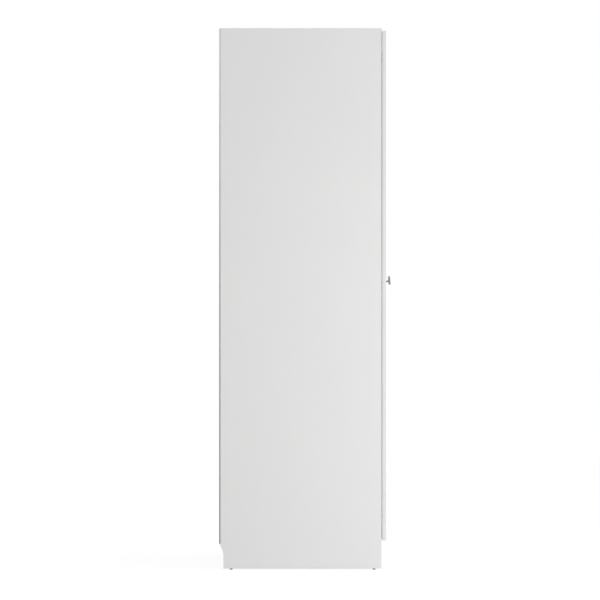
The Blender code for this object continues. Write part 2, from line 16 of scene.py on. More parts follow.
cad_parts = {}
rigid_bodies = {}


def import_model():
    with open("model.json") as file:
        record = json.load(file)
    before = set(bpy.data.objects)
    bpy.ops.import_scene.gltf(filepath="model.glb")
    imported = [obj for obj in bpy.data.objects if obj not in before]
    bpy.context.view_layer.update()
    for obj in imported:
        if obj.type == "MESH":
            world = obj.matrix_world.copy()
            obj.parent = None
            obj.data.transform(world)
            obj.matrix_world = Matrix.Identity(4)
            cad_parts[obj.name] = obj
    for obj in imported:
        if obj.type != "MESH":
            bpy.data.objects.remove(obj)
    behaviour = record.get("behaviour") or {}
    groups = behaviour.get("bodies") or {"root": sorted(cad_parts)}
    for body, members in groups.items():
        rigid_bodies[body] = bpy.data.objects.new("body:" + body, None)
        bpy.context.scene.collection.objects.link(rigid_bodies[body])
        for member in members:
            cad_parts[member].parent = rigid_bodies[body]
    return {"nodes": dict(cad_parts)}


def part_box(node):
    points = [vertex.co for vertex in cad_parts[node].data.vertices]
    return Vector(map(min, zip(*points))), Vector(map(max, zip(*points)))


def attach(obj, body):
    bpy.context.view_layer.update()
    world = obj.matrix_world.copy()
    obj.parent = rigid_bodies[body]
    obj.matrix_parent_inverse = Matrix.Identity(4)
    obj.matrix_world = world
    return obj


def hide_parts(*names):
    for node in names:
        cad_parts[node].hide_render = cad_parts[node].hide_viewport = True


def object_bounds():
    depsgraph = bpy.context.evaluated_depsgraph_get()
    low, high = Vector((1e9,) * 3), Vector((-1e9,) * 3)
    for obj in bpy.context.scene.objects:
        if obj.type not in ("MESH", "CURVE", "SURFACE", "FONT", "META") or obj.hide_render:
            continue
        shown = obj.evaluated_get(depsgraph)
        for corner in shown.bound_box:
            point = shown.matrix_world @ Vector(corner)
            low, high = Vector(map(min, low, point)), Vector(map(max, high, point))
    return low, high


for leftover in list(bpy.data.objects):
    bpy.data.objects.remove(leftover, do_unlink=True)

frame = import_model()
cad_low, cad_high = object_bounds()
MM = 0.001
HANDS = ("left", "right")
LEVELS = ("low", "middle", "high")
print("wardrobe box", [round(value, 4) for value in cad_high - cad_low])

# %% [markdown]
# ## White melamine: a plain start
# The boards are chipboard pressed between white melamine papers, which have a soft gloss.
# A diffuse and a glossy shader could be mixed for that, but one Principled shader keeps the two in balance.
# Values that are the same all over go straight into its sockets.
# The specular level is low, because pressed paper shines less than lacquer.

# %% Plain melamine
WHITE = (0.80, 0.80, 0.797)
PAPER_SPECULAR = 0.4


def socket(material, name):
    """One input of a material's shader."""
    return material.node_tree.nodes["Principled BSDF"].inputs[name]


def start_finish(name, colour, roughness, metallic=0.0):
    """A new material with its plain values."""
    material = bpy.data.materials.new(name)
    material.use_nodes = True
    socket(material, "Base Color").default_value = (*colour, 1.0)
    socket(material, "Roughness").default_value = roughness
    socket(material, "Metallic").default_value = metallic
    return material


melamine = start_finish("melamine_paper", WHITE, roughness=0.5)
socket(melamine, "Specular IOR Level").default_value = PAPER_SPECULAR
print("finish", melamine.name, "starts with", len(melamine.node_tree.nodes), "nodes")

# %% [markdown]
# ## White melamine: tone
# Over a large board the white drifts a little. A picture file could hold that drift,
# but a noise needs no file and stays sharp at any distance.
# It reads Object coordinates, which are metres, so a scale of 1000 gives about one grain in a millimetre.
# A noise seldom leaves the span from 0.3 to 0.7, so the ramp of colours is laid over that span.

# %% Tone of the melamine
NOISE_LOW = 0.3
NOISE_HIGH = 0.7


def grain(material, scale, detail=3.0, stretch=(1.0, 1.0, 1.0)):
    """A noise pattern in metres, drawn out along an axis where its stretch is small."""
    nodes = material.node_tree.nodes
    links = material.node_tree.links
    place = nodes.new("ShaderNodeTexCoord")
    mapping = nodes.new("ShaderNodeMapping")
    mapping.inputs["Scale"].default_value = stretch
    texture = nodes.new("ShaderNodeTexNoise")
    texture.inputs["Scale"].default_value = scale
    texture.inputs["Detail"].default_value = detail
    links.new(place.outputs["Object"], mapping.inputs["Vector"])
    links.new(mapping.outputs["Vector"], texture.inputs["Vector"])
    return texture.outputs["Fac"]


def tint(material, pattern, stops):
    """Colour the surface from a pattern through a ramp of colours."""
    ramp = material.node_tree.nodes.new("ShaderNodeValToRGB")
    while len(ramp.color_ramp.elements) < len(stops):
        ramp.color_ramp.elements.new(0.5)
    for element, (position, colour) in zip(ramp.color_ramp.elements, stops):
        element.position = position
        element.color = (*colour, 1.0)
    material.node_tree.links.new(pattern, ramp.inputs["Fac"])
    material.node_tree.links.new(ramp.outputs["Color"], socket(material, "Base Color"))


def tint_between(material, pattern, dark, light):
    """Let the colour wander between two."""
    tint(material, pattern, [(NOISE_LOW, dark), (NOISE_HIGH, light)])


def shade_of(colour, factor):
    """The same colour, darker or lighter."""
    return tuple(min(1.0, channel * factor) for channel in colour)


tint_between(melamine, grain(melamine, scale=3.0), shade_of(WHITE, 0.985), WHITE)
print("tone of", melamine.name, "from", len(melamine.node_tree.nodes), "nodes")

# %% [markdown]
# ## White melamine: gloss and pearl
# The paper takes a very fine pearl from its press plate. That relief could be modelled as mesh,
# but at a few hundredths of a millimetre a bump looks the same and costs nothing.
# The gloss wanders with a coarser noise, because a surface that is evenly glossy looks painted on.

# %% Gloss and pearl of the melamine
def vary_roughness(material, pattern, low, high):
    """Let the gloss wander between two values."""
    span = material.node_tree.nodes.new("ShaderNodeMapRange")
    span.inputs["From Min"].default_value = NOISE_LOW
    span.inputs["From Max"].default_value = NOISE_HIGH
    span.inputs["To Min"].default_value = low
    span.inputs["To Max"].default_value = high
    material.node_tree.links.new(pattern, span.inputs["Value"])
    material.node_tree.links.new(span.outputs["Result"], socket(material, "Roughness"))


def emboss(material, pattern, depth, strength):
    """Raise the surface by a pattern, as deep as the real relief."""
    relief = material.node_tree.nodes.new("ShaderNodeBump")
    relief.inputs["Strength"].default_value = strength
    relief.inputs["Distance"].default_value = depth
    material.node_tree.links.new(pattern, relief.inputs["Height"])
    material.node_tree.links.new(relief.outputs["Normal"], socket(material, "Normal"))


vary_roughness(melamine, grain(melamine, scale=140.0), low=0.48, high=0.52)
emboss(melamine, grain(melamine, scale=900.0, detail=2.0), depth=0.03 * MM, strength=0.35)
print("finish", melamine.name, "has", len(melamine.node_tree.nodes), "nodes")

# %% [markdown]
# ## Edge band
# The boards' visible edges carry a thin plastic band, ironed on and trimmed flush.
# It is a shade off the paper's white and a little glossier, with faint upright marks from the trimming.
# The marks could be drawn one by one, but a noise that is drawn out along Z gives the same uneven gloss.

# %% Edge band
UPRIGHT_MARKS = (1.0, 1.0, 0.1)
UPRIGHT_RELIEF = (1.0, 1.0, 0.2)

edge_band = start_finish("white_edge_band", shade_of(WHITE, 0.965), roughness=0.36)
trimming = grain(edge_band, scale=60.0, stretch=UPRIGHT_MARKS)
relief = grain(edge_band, scale=400.0, detail=2.0, stretch=UPRIGHT_RELIEF)
tint_between(edge_band, grain(edge_band, scale=5.0), shade_of(WHITE, 0.95), shade_of(WHITE, 0.98))
vary_roughness(edge_band, trimming, low=0.32, high=0.42)
emboss(edge_band, relief, depth=0.02 * MM, strength=0.3)
print("finish", edge_band.name, "has", len(edge_band.node_tree.nodes), "nodes")

# %% [markdown]
# ## Raw chipboard
# Edges that nobody sees are left without a band, so the wood chips show there.
# A Voronoi pattern would give chips with hard outlines, but on a sawn edge they are torn and blurred.
# So a coarse noise runs through three browns, and the same noise raises the light chips.

# %% Raw chipboard
DARK_CHIP = (0.26, 0.17, 0.09)
CHIP = (0.5, 0.37, 0.23)
LIGHT_CHIP = (0.66, 0.53, 0.36)
FLAT_CHIPS = (1.0, 1.0, 1.6)

chipboard = start_finish("raw_chipboard", CHIP, roughness=0.9)
chips = grain(chipboard, scale=420.0, detail=4.0, stretch=FLAT_CHIPS)
tint(chipboard, chips, [(0.32, DARK_CHIP), (0.5, CHIP), (0.68, LIGHT_CHIP)])
emboss(chipboard, chips, depth=0.25 * MM, strength=0.7)
print("finish", chipboard.name, "has", len(chipboard.node_tree.nodes), "nodes")

# %% [markdown]
# ## Hardboard
# The back is thin hardboard: white lacquer inside, bare brown fibre outside.
# Fibres are fine and matted, so their noise is close-grained, with much detail and little contrast.
# One finish with a mask could serve both faces, but lacquer hides the fibres' colour and leaves only a weak relief,
# so bare and lacquered are two finishes.

# %% Hardboard, bare and lacquered
FIBRE = (0.40, 0.335, 0.245)
UPRIGHT_FIBRES = (1.0, 1.0, 0.6)

hardboard = start_finish("bare_hardboard", FIBRE, roughness=0.8)
fibres = grain(hardboard, scale=850.0, detail=6.0, stretch=UPRIGHT_FIBRES)
tint(hardboard, fibres, [(0.28, shade_of(FIBRE, 0.84)), (0.72, shade_of(FIBRE, 1.14))])
vary_roughness(hardboard, grain(hardboard, scale=5.0), low=0.7, high=0.85)
emboss(hardboard, fibres, depth=0.06 * MM, strength=0.6)

lacquer = start_finish("lacquered_hardboard", shade_of(WHITE, 0.97), roughness=0.5)
tint_between(lacquer, grain(lacquer, scale=7.0), shade_of(WHITE, 0.94), shade_of(WHITE, 0.98))
emboss(lacquer, grain(lacquer, scale=350.0, detail=4.0), depth=0.05 * MM, strength=0.35)
print("finishes", hardboard.name, "and", lacquer.name)

# %% [markdown]
# ## Sawn hardboard edge
# From the side, the sheets' sawn edge shows as a thin line behind the board.
# Its colour is painted light and shade: the bare fibre is darkened near the floor and whitened towards the top.
# The change could be painted by hand, but height is one of the Object coordinates, so a ramp over Z gives it.
# A part of the fibres' noise is added to the height, so that the edge stays speckled.

# %% Sawn hardboard edge
# The ramp's ends are painted shade near the floor and painted light at the top.
HEIGHT_PART = 0.9
FIBRE_PART = 0.2
PAINTED_LIGHT_TOP = shade_of(WHITE, 0.98)

sawn = start_finish("sawn_hardboard", FIBRE, roughness=0.85)
sawn_nodes = sawn.node_tree.nodes
sawn_links = sawn.node_tree.links
sawn_fibres = grain(sawn, scale=850.0, detail=6.0)
place = sawn_nodes.new("ShaderNodeTexCoord")
parts = sawn_nodes.new("ShaderNodeSeparateXYZ")
height = sawn_nodes.new("ShaderNodeMapRange")
height.inputs["From Max"].default_value = cad_high.z
height.inputs["To Max"].default_value = HEIGHT_PART
speckled = sawn_nodes.new("ShaderNodeMath")
speckled.operation = "MULTIPLY_ADD"
speckled.inputs[1].default_value = FIBRE_PART
sawn_links.new(place.outputs["Object"], parts.inputs["Vector"])
sawn_links.new(parts.outputs["Z"], height.inputs["Value"])
sawn_links.new(sawn_fibres, speckled.inputs[0])
sawn_links.new(height.outputs["Result"], speckled.inputs[2])
# Painted shade near the floor, bare fibre in the middle, painted light at the top.
tint(sawn, speckled.outputs["Value"], [(0.1, shade_of(FIBRE, 0.7)), (0.55, FIBRE), (1.0, PAINTED_LIGHT_TOP)])
emboss(sawn, sawn_fibres, depth=0.06 * MM, strength=0.6)
print("finish", sawn.name, "has", len(sawn_nodes), "nodes")

# %% [markdown]
# ## Chrome and satin nickel
# Chrome is a mirror with faint handling marks, so only its roughness varies.
# Satin nickel is brushed: its noise is drawn out along X, which lays fine lines across a knob.
# An anisotropic shader could stretch the highlights, but lines that show from close by need a pattern.

# %% Chrome and satin nickel
CHROME = (0.80, 0.81, 0.82)
NICKEL = (0.30, 0.297, 0.29)
WIPED = (0.15, 1.0, 1.0)
BRUSHED = (0.03, 1.0, 1.0)

chrome = start_finish("polished_chrome", CHROME, roughness=0.08, metallic=1.0)
handling = grain(chrome, scale=40.0, detail=5.0, stretch=WIPED)
vary_roughness(chrome, handling, low=0.05, high=0.13)

nickel = start_finish("brushed_nickel", NICKEL, roughness=0.3, metallic=1.0)
brushing = grain(nickel, scale=1500.0, stretch=BRUSHED)
tint_between(nickel, brushing, shade_of(NICKEL, 0.93), shade_of(NICKEL, 1.05))
vary_roughness(nickel, brushing, low=0.24, high=0.36)
emboss(nickel, brushing, depth=0.01 * MM, strength=0.35)
print("finishes", chrome.name, "and", nickel.name)

# %% [markdown]
# ## Plated steel
# Hinges and screws are bright nickel plate over pressed steel, a little uneven from the press.
# Light hardly reaches the floor of a screw's recess. Left to the lamps alone it would look grey from afar,
# so the recess gets painted shade: a near-black material in place of the plate.

# %% Plated steel and painted recess shade
STEEL = (0.62, 0.62, 0.605)
PRESSED = (1.0, 0.2, 1.0)
DARK = (0.03, 0.03, 0.03)
DARKEST = (0.02, 0.02, 0.02)
RECESS_SHADE_PALE = (0.05, 0.05, 0.05)

steel = start_finish("nickel_plate", STEEL, roughness=0.24, metallic=1.0)
pressing = grain(steel, scale=300.0, detail=2.0, stretch=PRESSED)
tint_between(steel, grain(steel, scale=60.0), shade_of(STEEL, 0.97), shade_of(STEEL, 1.02))
vary_roughness(steel, pressing, low=0.2, high=0.27)
emboss(steel, grain(steel, scale=700.0, detail=2.0), depth=0.01 * MM, strength=0.3)

# Painted shade: a near-black material for the recess floor, varied a little by noise.
recess = start_finish("painted_recess_shade", DARK, roughness=0.7)
tint_between(recess, grain(recess, scale=800.0), DARKEST, RECESS_SHADE_PALE)
print("finishes", steel.name, "and", recess.name)

# %% [markdown]
# ## Moulded plastics
# The joining strip, sockets, caps and buffers are moulded in white, the glides in dark grey.
# A mould leaves its own soft grain. Smooth plastic would be one value on a socket, but it looks like enamel,
# so a fine noise gives the relief, and a broader one lets the tone drift as it does where plastic cooled unevenly.

# %% White and dark plastic
PLASTIC = (0.80, 0.80, 0.785)
PLASTIC_DIM = (0.78, 0.78, 0.765)
PLASTIC_BRIGHT = (0.82, 0.82, 0.805)
GREY = (0.055, 0.055, 0.06)
GREY_DIM = (0.045, 0.045, 0.05)
GREY_BRIGHT = (0.07, 0.07, 0.075)

white_plastic = start_finish("moulded_white", PLASTIC, roughness=0.42)
tint_between(white_plastic, grain(white_plastic, scale=12.0), PLASTIC_DIM, PLASTIC_BRIGHT)
emboss(white_plastic, grain(white_plastic, scale=1100.0, detail=2.0), depth=0.03 * MM, strength=0.4)

dark_plastic = start_finish("moulded_dark_grey", GREY, roughness=0.5)
tint_between(dark_plastic, grain(dark_plastic, scale=150.0), GREY_DIM, GREY_BRIGHT)
emboss(dark_plastic, grain(dark_plastic, scale=1000.0, detail=2.0), depth=0.04 * MM, strength=0.5)
print("finishes", white_plastic.name, "and", dark_plastic.name)

# %% [markdown]
# ## Hanging rail: a clean copy
# An oval chromed tube hangs below the shelf. A curve with a round bevel could draw a tube,
# but not an oval one with a wall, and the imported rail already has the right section.
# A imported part's mesh is loose triangles and stays as it is, so a copy is welded and its flat triangles are joined.

# %% A clean copy of the rail
MERGE = 0.002 * MM
FLAT = math.radians(0.5)


def merged_copy(node):
    """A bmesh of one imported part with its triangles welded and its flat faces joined."""
    bm = bmesh.new()
    bm.from_mesh(frame["nodes"][node].data)
    bmesh.ops.remove_doubles(bm, verts=bm.verts[:], dist=MERGE)
    bmesh.ops.dissolve_limit(bm, angle_limit=FLAT, verts=bm.verts[:], edges=bm.edges[:])
    return bm


rail_copy = merged_copy("hanging_rail")
packed_rail = frame["nodes"]["hanging_rail"].data
print("rail", len(packed_rail.polygons), "triangles joined to", len(rail_copy.faces), "faces")

# %% [markdown]
# ## Hanging rail: a piece of the wardrobe
# A piece has a mesh, its finishes and a body that it moves with.
# Smooth shading alone would bend the light on flat faces beside a narrow rounding, and cutting the faces apart
# would show a hard line. Weighted normals let the large face win, so every piece gets them.

# %% The rail as a piece
SOFT = math.radians(35)


def add_piece(name, bm, finishes, body, stands_for=()):
    """Turn a bmesh into a finished piece that rides on a body."""
    mesh = bpy.data.meshes.new(name)
    bm.to_mesh(mesh)
    bm.free()
    for finish in finishes:
        mesh.materials.append(finish)
    mesh.shade_smooth()
    mesh.set_sharp_from_angle(angle=SOFT)
    piece = bpy.data.objects.new(name, mesh)
    bpy.context.scene.collection.objects.link(piece)
    even = piece.modifiers.new("even_shading", "WEIGHTED_NORMAL")
    even.keep_sharp = True
    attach(piece, body)
    if stands_for:
        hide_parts(*stands_for)
    return piece


rail = add_piece("rail_tube", rail_copy, (chrome,), "carcass", ("hanging_rail",))
print("piece", rail.name, "in", rail.data.materials[0].name)

# %% [markdown]
# ## Rail sockets and joining strip
# A moulded socket holds each end of the rail, and a plastic strip with an H section joins the two back sheets.
# No real edge is perfectly sharp, and a rounded one catches a thin line of light.
# A Bevel modifier could round them all, but the operator can be given only the edges that are meant.
# The small bends of a round hole are no edges, so an edge counts as sharp from 40 degrees on.

# %% Sockets and strip
SHARP = math.radians(40)
SOCKET_EDGE = 0.6 * MM
STRIP_EDGE = 0.25 * MM


def round_edges(bm, width, segments, chosen=None):
    """Bevel the edges where two faces meet sharply, or only those of them that are chosen."""
    sharp = [edge for edge in bm.edges if edge.is_manifold and edge.calc_face_angle() > SHARP]
    if chosen:
        sharp = [edge for edge in sharp if chosen(edge)]
    bmesh.ops.bevel(
        bm, geom=sharp, offset=width, offset_type="OFFSET", segments=segments,
        profile=0.5, affect="EDGES", material=-1, clamp_overlap=True,
    )
    bmesh.ops.dissolve_degenerate(bm, dist=MERGE, edges=bm.edges[:])


def dress(node, name, finish, body, edge=0.0, segments=2):
    """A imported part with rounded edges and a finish, in place of the plain one."""
    bm = merged_copy(node)
    if edge:
        round_edges(bm, edge, segments)
    return add_piece(name, bm, (finish,), body, (node,))


moulded = [
    dress(f"rail_socket_{hand}", f"rail_cup_{hand}", white_plastic, "carcass", SOCKET_EDGE)
    for hand in HANDS
]
moulded += [dress("back_joining_strip", "joining_strip", white_plastic, "carcass", STRIP_EDGE)]
print("moulded pieces", [piece.name for piece in moulded])

# %% [markdown]
# ## Cup hinges
# Three concealed hinges carry each door: a cross-shaped plate on the side, an arm that dips into the cup,
# two links, and the cup in the door. Plate and arm stay with the carcass, the links and the cup move.
# One rounding for all would be simpler, but a link's eye has a thin wall and a cup's lip is thinner still,
# so the links get a smaller rounding and the cups none.

# %% Hinge pieces
HINGE_EDGE = 0.35 * MM
LINK_EDGE = 0.2 * MM


def dress_hinge(hand, level):
    """Plate, arm, links and cup of one hinge."""
    tail = f"{hand}_{level}"
    dress(f"hinge_plate_{tail}", f"plate_{tail}", steel, "carcass", HINGE_EDGE)
    dress(f"hinge_arm_{tail}", f"arm_{tail}", steel, "carcass", HINGE_EDGE)
    for kind in ("outer", "inner"):
        link = f"{kind}_link_{tail}"
        dress(f"hinge_{link}", link, steel, f"{kind}_links_{hand}", LINK_EDGE)
    return dress(f"hinge_cup_{tail}", f"cup_{tail}", steel, f"door_body_{hand}")


cups = [dress_hinge(hand, level) for hand in HANDS for level in LEVELS]
print("hinges", len(cups), "each with a cup of", len(cups[0].data.polygons), "faces")

# %% [markdown]
# ## Knobs
# Each door is pulled by a small satin knob: a leaning rounded plate on a thin post.
# It is cast in one, so a fillet softens the corner where the post meets the plate.
# It could be sculpted anew, but its reach is measured from the photograph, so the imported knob's copy is rounded.

# %% Knobs
KNOB_FILLET = 0.4 * MM
KNOB_SEGMENTS = 3

for hand in HANDS:
    knob = dress(
        f"knob_{hand}", f"knob_{hand}_cast", nickel, f"door_body_{hand}",
        KNOB_FILLET, KNOB_SEGMENTS,
    )
    print(knob.name, len(knob.data.polygons), "faces")

# %% [markdown]
# ## Plinth
# The plinth is a flat-pack board: cut square, white on its faces and raw wherever nobody looks.
# Faces could be given their finish one by one, but boards are alike, so each face picks it from the way it points.
# A face that lies below the outside, as in a bore, is raw too. A raw edge only loses its sharpness.

# %% Plinth
RAW_EDGE = 0.2 * MM
BOARD_FINISHES = (melamine, edge_band, chipboard)
FACE, BAND, RAW = range(3)
KICK = {"left": RAW, "right": RAW, "up": RAW, "down": RAW}
WAYS = {
    "left": Vector((-1, 0, 0)), "right": Vector((1, 0, 0)), "front": Vector((0, -1, 0)),
    "back": Vector((0, 1, 0)), "down": Vector((0, 0, -1)), "up": Vector((0, 0, 1)),
}


def pick_finishes(bm, by_way):
    """Give each face the finish of the way that it points most; one that lies below the outside is raw."""
    outside = {word: max(vert.co.dot(way) for vert in bm.verts) for word, way in WAYS.items()}
    for face in bm.faces:
        facing = max(WAYS, key=lambda word: face.normal.dot(WAYS[word]))
        below = outside[facing] - face.calc_center_median().dot(WAYS[facing])
        face.material_index = RAW if below > RAW_EDGE else by_way.get(facing, FACE)


bm = merged_copy("plinth")
pick_finishes(bm, KICK)
round_edges(bm, RAW_EDGE, segments=1)
plinth = add_piece("plinth_board", bm, BOARD_FINISHES, "carcass", ("plinth",))
print("piece", plinth.name, len(plinth.data.polygons), "faces")

# %% [markdown]
# ## Lying boards
# Bottom, shelf and top show their front edge, which carries the plastic band, trimmed with a small radius.
# A band could be a strip of its own, but that would leave a seam, so the board stays one mesh.
# Its banded edges get a wide soft bevel, a plane cuts the mesh one band's thickness below them,
# and the strip beyond the cut takes the band's finish.

# %% Lying boards
BAND_EDGE = 1.0 * MM
BAND_SEGMENTS = 3
BAND_THICK = 1.3 * MM
LYING = {"front": BAND, "back": RAW, "left": RAW, "right": RAW}


def is_banded(edge):
    """An edge of the outline that the band covers."""
    finishes = {face.material_index for face in edge.link_faces}
    return BAND in finishes and RAW not in finishes


def lay_bands(bm, by_way):
    """Mark off the thickness of each band, which shows as a strip on the faces beside it."""
    for way in (WAYS[word] for word, finish in by_way.items() if finish == BAND):
        line = max(vert.co.dot(way) for vert in bm.verts) - BAND_THICK
        whole = bm.verts[:] + bm.edges[:] + bm.faces[:]
        bmesh.ops.bisect_plane(bm, geom=whole, dist=MERGE, plane_co=way * line, plane_no=way)
        for face in bm.faces:
            if face.calc_center_median().dot(way) > line:
                face.material_index = BAND


def make_board(node, by_way, body="carcass"):
    """One board with rounded edges, banded and raw where the real one is."""
    bm = merged_copy(node)
    pick_finishes(bm, by_way)
    round_edges(bm, BAND_EDGE, BAND_SEGMENTS, is_banded)
    round_edges(bm, RAW_EDGE, segments=1)
    lay_bands(bm, by_way)
    return add_piece(f"{node}_board", bm, BOARD_FINISHES, body, (node,))


lying = [make_board(node, LYING) for node in ("top_panel", "bottom_panel", "hat_shelf")]
print("lying boards", [board.name for board in lying])

# %% [markdown]
# ## Sides and doors
# The sides show their front and top edges, the doors all four.
# Each board could have its own list of edges, but boards of one kind share theirs, so one short table
# does for each kind. The doors ride on bodies of their own, because they swing.

# %% Sides and doors
STANDING = {"front": BAND, "up": BAND, "back": RAW, "down": RAW}
ALL_ROUND = {"left": BAND, "right": BAND, "up": BAND, "down": BAND}

upright = [make_board(f"side_panel_{hand}", STANDING) for hand in HANDS]
upright += [make_board(f"door_{hand}", ALL_ROUND, f"door_body_{hand}") for hand in HANDS]
print("sides and doors", [board.name for board in upright])

# %% [markdown]
# ## Back sheets
# Two hardboard sheets close the back. A sheet is sawn and never trimmed, so its edges get hardly any rounding.
# It could have a finish for the whole sheet, but the lacquer is on its inside only.
# So it picks finishes as the boards do: lacquer in front, bare fibre behind and the sawn edge all round.

# %% Back sheets
SHEET_EDGE = 0.3 * MM
BARE, LACQUERED, SAWN = range(3)
SHEET_FACES = {
    "front": LACQUERED, "back": BARE, "left": SAWN, "right": SAWN, "up": SAWN, "down": SAWN,
}


def make_sheet(hand):
    """One back sheet: white inside, bare outside, sawn at its edges."""
    node = f"back_panel_{hand}"
    bm = merged_copy(node)
    pick_finishes(bm, SHEET_FACES)
    round_edges(bm, SHEET_EDGE, segments=1)
    return add_piece(f"{node}_sheet", bm, (hardboard, lacquer, sawn), "carcass", (node,))


sheets = [make_sheet(hand) for hand in HANDS]
print("back", [sheet.name for sheet in sheets])

# %% [markdown]
# ## Door buffers
# Small soft buffers inside the doors keep them off the carcass, near the free edge where a door knocks.
# A buffer is round. It could start from a cylinder that is then cut and scaled, but a profile says more with less:
# a few points of radius and height, spun about an axis. The profile is spun about Z and then turned and moved
# to its place, so one helper serves every direction.

# %% Door buffers
UP = WAYS["up"]
BUFFER_PROFILE = [(0, 0), (2.7 * MM, 0), (2.6 * MM, 0.8 * MM), (1.8 * MM, 1.3 * MM), (0, 1.5 * MM)]
BUFFER_STEPS = 20
BUFFER_FROM_END = 3 * MM
BUFFER_FROM_EDGE = 40 * MM


def turn(bm, profile, centre, axis, steps, finish=0):
    """Spin a profile of radius and height about an axis and set it in place."""
    old_verts = set(bm.verts)
    old_faces = set(bm.faces)
    verts = [bm.verts.new((radius, 0.0, height)) for radius, height in profile]
    edges = [bm.edges.new(pair) for pair in zip(verts, verts[1:])]
    bmesh.ops.spin(
        bm, geom=verts + edges, cent=(0, 0, 0), axis=UP, angle=2 * math.pi,
        steps=steps, use_merge=True,
    )
    made = [vert for vert in bm.verts if vert not in old_verts]
    bmesh.ops.remove_doubles(bm, verts=made, dist=MERGE)
    faces = [face for face in bm.faces if face not in old_faces]
    bmesh.ops.recalc_face_normals(bm, faces=faces)
    for face in faces:
        face.material_index = finish
    facing = UP.rotation_difference(Vector(axis)).to_matrix().to_4x4()
    made = [vert for vert in bm.verts if vert not in old_verts]
    bmesh.ops.transform(bm, matrix=Matrix.Translation(centre) @ facing, verts=made)


def make_buffers(hand):
    """A buffer near the top and the bottom of a door's free edge."""
    low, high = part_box(f"door_{hand}")
    x = high.x - BUFFER_FROM_EDGE if hand == "left" else low.x + BUFFER_FROM_EDGE
    bm = bmesh.new()
    for z in (low.z + BUFFER_FROM_END, high.z - BUFFER_FROM_END):
        turn(bm, BUFFER_PROFILE, (x, high.y, z), WAYS["back"], BUFFER_STEPS)
    return add_piece(f"door_buffers_{hand}", bm, (white_plastic,), f"door_body_{hand}")


buffers = [make_buffers(hand) for hand in HANDS]
print("buffers", [piece.name for piece in buffers])

# %% [markdown]
# ## Cam caps
# The lying boards are pulled to the sides by cams, and a white cap hides each cam in the board's underside.
# A cap is a low disc with a shallow dimple. A dimple could be inset in a finished disc,
# but in a turned profile it is only two points more.

# %% Cam caps
CAP_PROFILE = [
    (0, 0), (8.5 * MM, 0), (8.5 * MM, 0.5 * MM), (7.8 * MM, 0.9 * MM),
    (3 * MM, 0.9 * MM), (2.4 * MM, 0.5 * MM), (0, 0.5 * MM),
]
CAP_STEPS = 28
CAP_FROM_END = 34 * MM
CAP_FROM_EDGE = 60 * MM


def make_caps(node):
    """Four cam caps under a lying board."""
    low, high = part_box(node)
    bm = bmesh.new()
    for x in (low.x + CAP_FROM_END, high.x - CAP_FROM_END):
        for y in (low.y + CAP_FROM_EDGE, high.y - CAP_FROM_EDGE):
            turn(bm, CAP_PROFILE, (x, y, low.z), WAYS["down"], CAP_STEPS)
    return add_piece(f"cam_caps_{node}", bm, (white_plastic,), "carcass")


caps = [make_caps(node) for node in ("top_panel", "hat_shelf", "bottom_panel")]
print("cam caps", [piece.name for piece in caps])

# %% [markdown]
# ## Glides
# Four nail-on glides lift the sides off the floor. Each is a low dark disc with a rounded rim
# and the nail's head sunk in its middle. The rim could be bevelled afterwards,
# but then its width would depend on the disc's other edges, so it is part of the turned profile.

# %% Glides
GLIDE_STEPS = 28
GLIDE_NAIL_STEPS = 12
GLIDE_DISH = [(0, 0.8 * MM), (1.6 * MM, 0.8 * MM), (2.2 * MM, 0.1 * MM), (2.6 * MM, 0.0)]
GLIDE_RIM = [(0.9 * MM, 0.0), (0.25 * MM, 0.3 * MM), (0.0, 1.0 * MM)]
GLIDE_NAIL = [(0, 0.75 * MM), (1.5 * MM, 0.75 * MM), (1.2 * MM, 0.5 * MM), (0, 0.4 * MM)]
MOULDED, NAILED = range(2)


def make_glide(node):
    """A low disc with a dished underside and a nail head."""
    low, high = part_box(node)
    radius = (high.x - low.x) / 2
    tall = high.z - low.z
    centre = ((low.x + high.x) / 2, (low.y + high.y) / 2, low.z)
    rim = [(radius - inset, height) for inset, height in GLIDE_RIM]
    bm = bmesh.new()
    turn(bm, GLIDE_DISH + rim + [(radius, tall), (0, tall)], centre, UP, GLIDE_STEPS, MOULDED)
    turn(bm, GLIDE_NAIL, centre, UP, GLIDE_NAIL_STEPS, NAILED)
    return add_piece(f"{node}_glide", bm, (dark_plastic, steel), "carcass", (node,))


glides = [make_glide(f"foot_{end}_{hand}") for end in ("front", "back") for hand in HANDS]
print("glides", [glide.name for glide in glides])

# %% [markdown]
# ## Nails
# Small nails pin the sheets to the rear edges of the sides, the top, the shelf and the bottom.
# They could be copies of one object, but all nails of a sheet stay together, so one mesh holds them.
# Each head is a low dome of ten steps, which is plenty at five millimetres across.

# %% Nails in the back sheets
NAIL_RADIUS = 2.4 * MM
NAIL_DOME = 0.7 * MM
NAIL_PROFILE = [
    (0, 0), (NAIL_RADIUS, 0), (NAIL_RADIUS, 0.3 * NAIL_DOME),
    (0.6 * NAIL_RADIUS, 0.85 * NAIL_DOME), (0, NAIL_DOME),
]
NAIL_STEPS = 10
NAIL_PITCH = 120 * MM
NAIL_FROM_EDGE = 7 * MM
NAIL_FROM_MIDDLE = 28 * MM


def spread(start, end, pitch):
    """Evenly spaced places from start to end, about a pitch apart."""
    count = max(1, round(abs(end - start) / pitch))
    return [start + (end - start) * step / count for step in range(count + 1)]


def middle_height(node):
    """The height of a part's middle."""
    low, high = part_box(node)
    return (low.z + high.z) / 2


